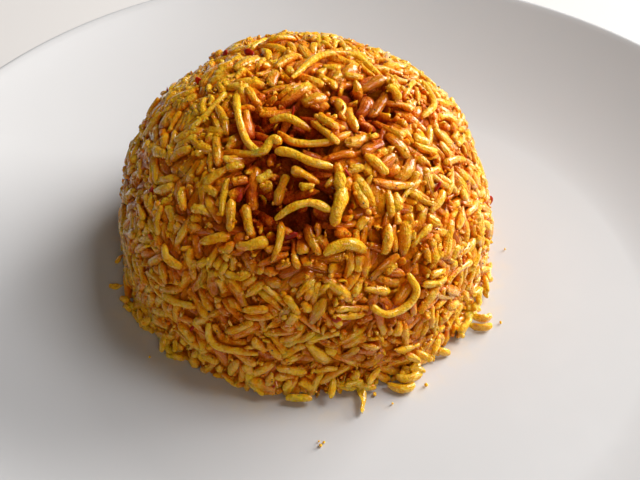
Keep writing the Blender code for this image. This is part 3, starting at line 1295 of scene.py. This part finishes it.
# Grains that lie on the plate, most of them in clumps: where each starts, is halfway and ends, as x, y
# and z in millimetres from the middle of the heap's foot, and its thickness
STRAYS = (
    (((12.6, -45.0, 2.6), (14.5, -49.0, 1.7), (14.1, -53.0, 1.2)), 2.3),
    (((20.5, -45.6, 1.4), (24.0, -46.4, 1.2), (27.0, -45.2, 1.3)), 2.5),
    (((22.5, -43.6, 1.6), (26.0, -43.4, 1.4), (29.0, -42.0, 1.5)), 2.5),
    (((22.6, -44.4, 3.5), (25.2, -45.0, 3.4), (27.6, -43.4, 3.2)), 2.3),
    (((42.6, -26.4, 1.3), (45.4, -27.0, 1.2), (47.6, -25.8, 1.3)), 2.4),
    (((43.6, -23.2, 1.4), (46.2, -24.2, 1.3), (48.0, -22.6, 1.3)), 2.3),
    (((42.8, -24.8, 3.3), (45.0, -25.6, 3.2), (46.6, -24.8, 3.0)), 2.2),
    (((-47.2, -15.2, 1.2), (-49.2, -16.0, 1.0), (-50.6, -15.2, 0.9)), 1.9),
)
# Crumbs that lie on the plate: x, y, z and half the size, in millimetres from the same place
PLATE_CRUMBS = (
    (4.6, -62.0, 0.3, 0.55),
    (5.4, -61.2, 0.3, 0.40),
    (4.2, -60.9, 0.2, 0.30),
    (21.6, -50.1, 0.3, 0.35),
    (-37.4, -37.9, 0.2, 0.30),
    (55.2, 2.0, 0.3, 0.40),
    (30.0, -44.6, 0.4, 0.50),
    (17.5, -47.6, 0.4, 0.50),
    (50.6, -24.4, 0.3, 0.40),
)

# Where more grains lean against the heap's foot: the azimuth and its spread in degrees, and how many
LEANING = ((-28.0, 9.0, 20), (-62.0, 10.0, 10), (-100.0, 20.0, 10), (-150.0, 16.0, 12), (90.0, 60.0, 24))
FOOT_RADIUS = 49.0  # the heap's radius near its foot, in millimetres
STRAY_STEPS = 8  # points along a stray grain


def bow_through(a, b, c):
    """Points of the bow that starts at a, ends at c and passes b halfway."""
    t = np.linspace(0, 1, STRAY_STEPS)[:, None]
    return a * (1 - t) ** 2 + 2 * (2 * b - (a + c) / 2) * t * (1 - t) + c * t**2


def leaning_grain(rng, heap, azimuth):
    """A grain that leans against the heap near its foot: points and half widths along it."""
    turn = math.radians(azimuth)
    out = np.array((math.cos(turn), math.sin(turn), 0.0))
    side = np.array((-math.sin(turn), math.cos(turn), 0.0))
    height = rng.uniform(1.2, 1.3 + rng.gamma(2.0, 1.6))
    way = np.array((*(out[:2] * FOOT_RADIUS), height))
    way /= np.linalg.norm(way)
    middle = way * heap.mould.look_up(way[None])[0][0] + out * rng.uniform(0.2, 1.6)
    middle[2] = max(middle[2], 1.2)
    slant = rng.normal(0, 0.7)
    heading = side * math.cos(slant) + (out * 0.5 + np.array((0, 0, -0.6))) * math.sin(slant)
    length, width = rng.uniform(3.0, 6.5), rng.uniform(1.6, 2.1)
    t = np.linspace(-1, 1, STRAY_STEPS)[:, None]
    line = middle + heading * t * length / 2 - out * (t**2 - 0.4) * rng.uniform(-0.4, 0.4)
    line[:, 2] = np.maximum(line[:, 2], width * 0.48)
    return line, rounded(STRAY_STEPS, width, 0.5)


class PLATED_OT_strays(bpy.types.Operator):
    """Lay the grains and crumbs that fell from the heap on the plate"""

    bl_idname = "plated.strays"
    bl_label = "Strays"

    def execute(self, context):
        rice = context.scene.plated_rice
        heap = Heap.of(rice)
        rng = np.random.default_rng(rice.seed + 2)
        grains = [(bow_through(*np.array(corners)), rounded(STRAY_STEPS, width)) for corners, width in STRAYS]
        for azimuth, spread, count in LEANING:
            grains += [leaning_grain(rng, heap, azimuth + rng.normal(0, spread)) for _ in range(count)]
        lines, thicks = zip(*grains)
        tones = rng.random(len(grains)) * 0.5
        strung(
            "stray_grains", heap, lines, thicks, tones, rice_material(rice, "stray_grain", 0.05), lump=0.5
        )

        loose = np.array(PLATE_CRUMBS)
        size = loose[:, 3:] * rng.uniform(0.6, 1.2, (len(loose), 3))
        look = rice_material(rice, "stray_crumb", -0.05)
        strewn("stray_crumbs", heap, rng, loose[:, :3], size, look, detail=2)
        return {"FINISHED"}


# --------------------------------------------------------------------------------------------------
# The core
# --------------------------------------------------------------------------------------------------

CORE_ROWS, CORE_COLUMNS = 110, 300
CORE_DEPTH, CORE_DEPTH_TORN = 1.8, 3.7  # how deep it lies under the mould, and how much more where torn
CORE_LUMPS = 0.8  # the height of its lumps
CORE_LUMP_SIZES = (1.5, 0.6)


def core_mesh(heap):
    """A closed shell a little under the mould, with a flat underside just over the plate."""
    rises = np.linspace(0, math.pi / 2, CORE_ROWS, endpoint=False)
    turns = np.linspace(0, 2 * math.pi, CORE_COLUMNS, endpoint=False)
    rise, turn = np.meshgrid(rises, turns, indexing="ij")
    ways = np.vstack([ways_out(turn, rise).reshape(-1, 3), (0, 0, 1)])
    reach, outward = heap.mould.look_up(ways)
    skin = ways * reach[:, None]
    big, small = CORE_LUMP_SIZES
    lumps = np.array([noise.noise(Vector(p / big)) + 0.5 * noise.noise(Vector(p / small)) for p in skin])
    depth = CORE_DEPTH + CORE_DEPTH_TORN * brokenness(skin) - lumps * CORE_LUMPS
    points = skin - outward * depth[:, None]
    points[:, 2] = np.maximum(points[:, 2], 0.02)
    # The lowest row makes the underside's edge, right under the row above it
    points[:CORE_COLUMNS, 2] = 0.02
    points[:CORE_COLUMNS, :2] = points[CORE_COLUMNS : 2 * CORE_COLUMNS, :2]

    faces = []
    for i in range(CORE_ROWS - 1):
        low, high = i * CORE_COLUMNS, (i + 1) * CORE_COLUMNS
        for j in range(CORE_COLUMNS):
            k = (j + 1) % CORE_COLUMNS
            faces.append((low + j, low + k, high + k, high + j))
    last, peak = (CORE_ROWS - 1) * CORE_COLUMNS, len(points) - 1
    faces += [(last + j, last + (j + 1) % CORE_COLUMNS, peak) for j in range(CORE_COLUMNS)]
    faces.append(tuple(reversed(range(CORE_COLUMNS))))
    mesh = bpy.data.meshes.new("sauce_core")
    mesh.from_pydata(to_world(points).tolist(), [], faces)
    mesh.shade_smooth()
    return mesh


def mash_material(rice):
    """Mash of starch and sauce, all sauce where the heap is torn, with painted shade that makes it darkest
    deep down there.
    """
    paint = Paint("mash")
    place = paint.place()
    torn = paint.attribute("torn")
    fine = paint.noise(place, 900, 4.0, 0.65)
    wet = paint.noise(place, 260, 3.0, 0.6)
    sauce = paint.mix(wet.smooth(0.30, 0.60) * 0.9, rice.deep, rice.sauce)
    skin = paint.mix(torn * 0.45 + 0.55, paint.mix(wet, rice.gold, rice.deep), sauce)
    # Painted shade: deep down where the heap is torn, the mash turns to a darker copy of the sauce
    sunk_shade = paint.attribute("crevice").smooth(2.0, 4.2) * torn
    return paint.finish(
        Base_Color=paint.mix(sunk_shade * 0.8, skin, [c * 0.6 for c in rice.sauce]),
        Roughness=0.35 + fine * 0.25,
        Specular_IOR_Level=0.2,
        Specular_Tint=(1.0, 0.6, 0.25, 1.0),
        Subsurface_Weight=0.1,
        Subsurface_Radius=(1.0, 0.3, 0.1),
        Subsurface_Scale=0.001,
        Normal=paint.bump(fine * 1.6 + wet, 0.0009, 1.0),
    )


class PLATED_OT_core(bpy.types.Operator):
    """Make the mash of sauce and starch between the grains, which the gaps show"""

    bl_idname = "plated.core"
    bl_label = "Core"

    def execute(self, context):
        rice = context.scene.plated_rice
        heap = Heap.of(rice)
        mesh = core_mesh(heap)
        mesh.materials.append(mash_material(rice))
        finish_rice(new_object("sauce_core", mesh), heap)
        return {"FINISHED"}


# --------------------------------------------------------------------------------------------------
# The stage
# --------------------------------------------------------------------------------------------------


FLOOR_SIDE = 8.0  # metres

# The lights: azimuth and elevation in degrees and distance in metres from the middle of the heap's foot,
# then width and height in metres, power in watts and colour
LIGHTS = {
    "window": ((33, 23, 1.5), (1.1, 0.8), 36.0, (1.0, 0.97, 0.94)),
    "sky": ((14, 58, 1.5), (0.7, 0.7), 15.0, (0.98, 0.98, 1.0)),
    "room": ((285, 42, 1.5), (0.5, 0.5), 3.6, (1.0, 0.84, 0.66)),
}


def area_light(name, place, size, power, tint):
    data = bpy.data.lights.new(name, "AREA")
    data.shape = "RECTANGLE"
    data.size, data.size_y = size
    data.energy = power
    data.color = tint
    lamp = new_object(name, data)
    turn, rise, far = math.radians(place[0]), math.radians(place[1]), place[2]
    way = Vector((math.cos(rise) * math.cos(turn), math.cos(rise) * math.sin(turn), math.sin(rise)))
    lamp.location = HEAP_FOOT + way * far
    lamp.rotation_euler = (-way).to_track_quat("-Z", "Y").to_euler()


def aimed_camera(stage):
    """The camera, in front of the heap and above it, aimed near the middle of the heap's foot."""
    lens = bpy.data.cameras.new("camera")
    lens.lens = stage.lens
    lens.sensor_width = 36.0
    lens.clip_start = 0.01
    camera = new_object("camera", lens)
    backward = Vector((0, -math.cos(stage.elevation), math.sin(stage.elevation)))
    right = Vector((1, 0, 0))
    turn = Matrix((right, backward.cross(right), backward)).transposed()
    turn = turn @ Matrix.Rotation(-stage.roll, 3, "Z")
    aim = Vector((-math.tan(stage.aside), -math.tan(stage.above), -1)).normalized()
    turn = turn @ Vector((0, 0, -1)).rotation_difference(aim).to_matrix().transposed()
    camera.matrix_world = Matrix.Translation(HEAP_FOOT + backward * stage.distance) @ turn.to_4x4()
    return camera


class PLATED_OT_stage(bpy.types.Operator):
    """Make the floor, the lights and the camera"""

    bl_idname = "plated.stage"
    bl_label = "Stage"

    def execute(self, context):
        scene = context.scene
        stage = scene.plated_stage
        mesh = bpy.data.meshes.new("floor")
        half = FLOOR_SIDE / 2
        mesh.from_pydata(
            [(-half, -half, 0), (half, -half, 0), (half, half, 0), (-half, half, 0)], [], [(0, 1, 2, 3)]
        )
        mesh.materials.append(plain_material("floor_paint", stage.floor, 0.6))
        floor = new_object("floor", mesh)

        for name, (place, size, power, tint) in LIGHTS.items():
            area_light(name, place, size, power, tint)

        world = bpy.data.worlds.new("room_light")
        world.use_nodes = True
        back = world.node_tree.nodes["Background"]
        back.inputs["Color"].default_value = (*stage.haze, 1.0)
        back.inputs["Strength"].default_value = stage.haze_strength
        scene.world = world
        scene.view_settings.view_transform = "Standard"
        scene.view_settings.look = "None"
        scene.camera = aimed_camera(stage)
        return {"FINISHED"}


class PLATED_PT_panel(bpy.types.Panel):
    """The steps that make the plate of rice, in order"""

    bl_idname = "PLATED_PT_panel"
    bl_label = "Plated Rice"
    bl_space_type = "VIEW_3D"
    bl_region_type = "UI"
    bl_category = "Plated Rice"

    def draw(self, context):
        for step in STEPS:
            self.layout.operator(step.bl_idname)


SETTINGS = {"plated_plate": PlateSettings, "plated_rice": RiceSettings, "plated_stage": StageSettings}
STEPS = (
    PLATED_OT_plate,
    PLATED_OT_core,
    PLATED_OT_grains,
    PLATED_OT_crumbs,
    PLATED_OT_strays,
    PLATED_OT_stage,
)


def register():
    for kind in (*SETTINGS.values(), *STEPS, PLATED_PT_panel):
        bpy.utils.register_class(kind)
    for name, kind in SETTINGS.items():
        setattr(bpy.types.Scene, name, PointerProperty(type=kind))


def unregister():
    for name in SETTINGS:
        delattr(bpy.types.Scene, name)
    for kind in (PLATED_PT_panel, *reversed(STEPS), *SETTINGS.values()):
        bpy.utils.unregister_class(kind)


def main():
    register()
    bpy.ops.plated.plate()
    bpy.ops.plated.core()
    bpy.ops.plated.grains()
    bpy.ops.plated.crumbs()
    bpy.ops.plated.strays()
    bpy.ops.plated.stage()


if __name__ == "__main__":
    main()
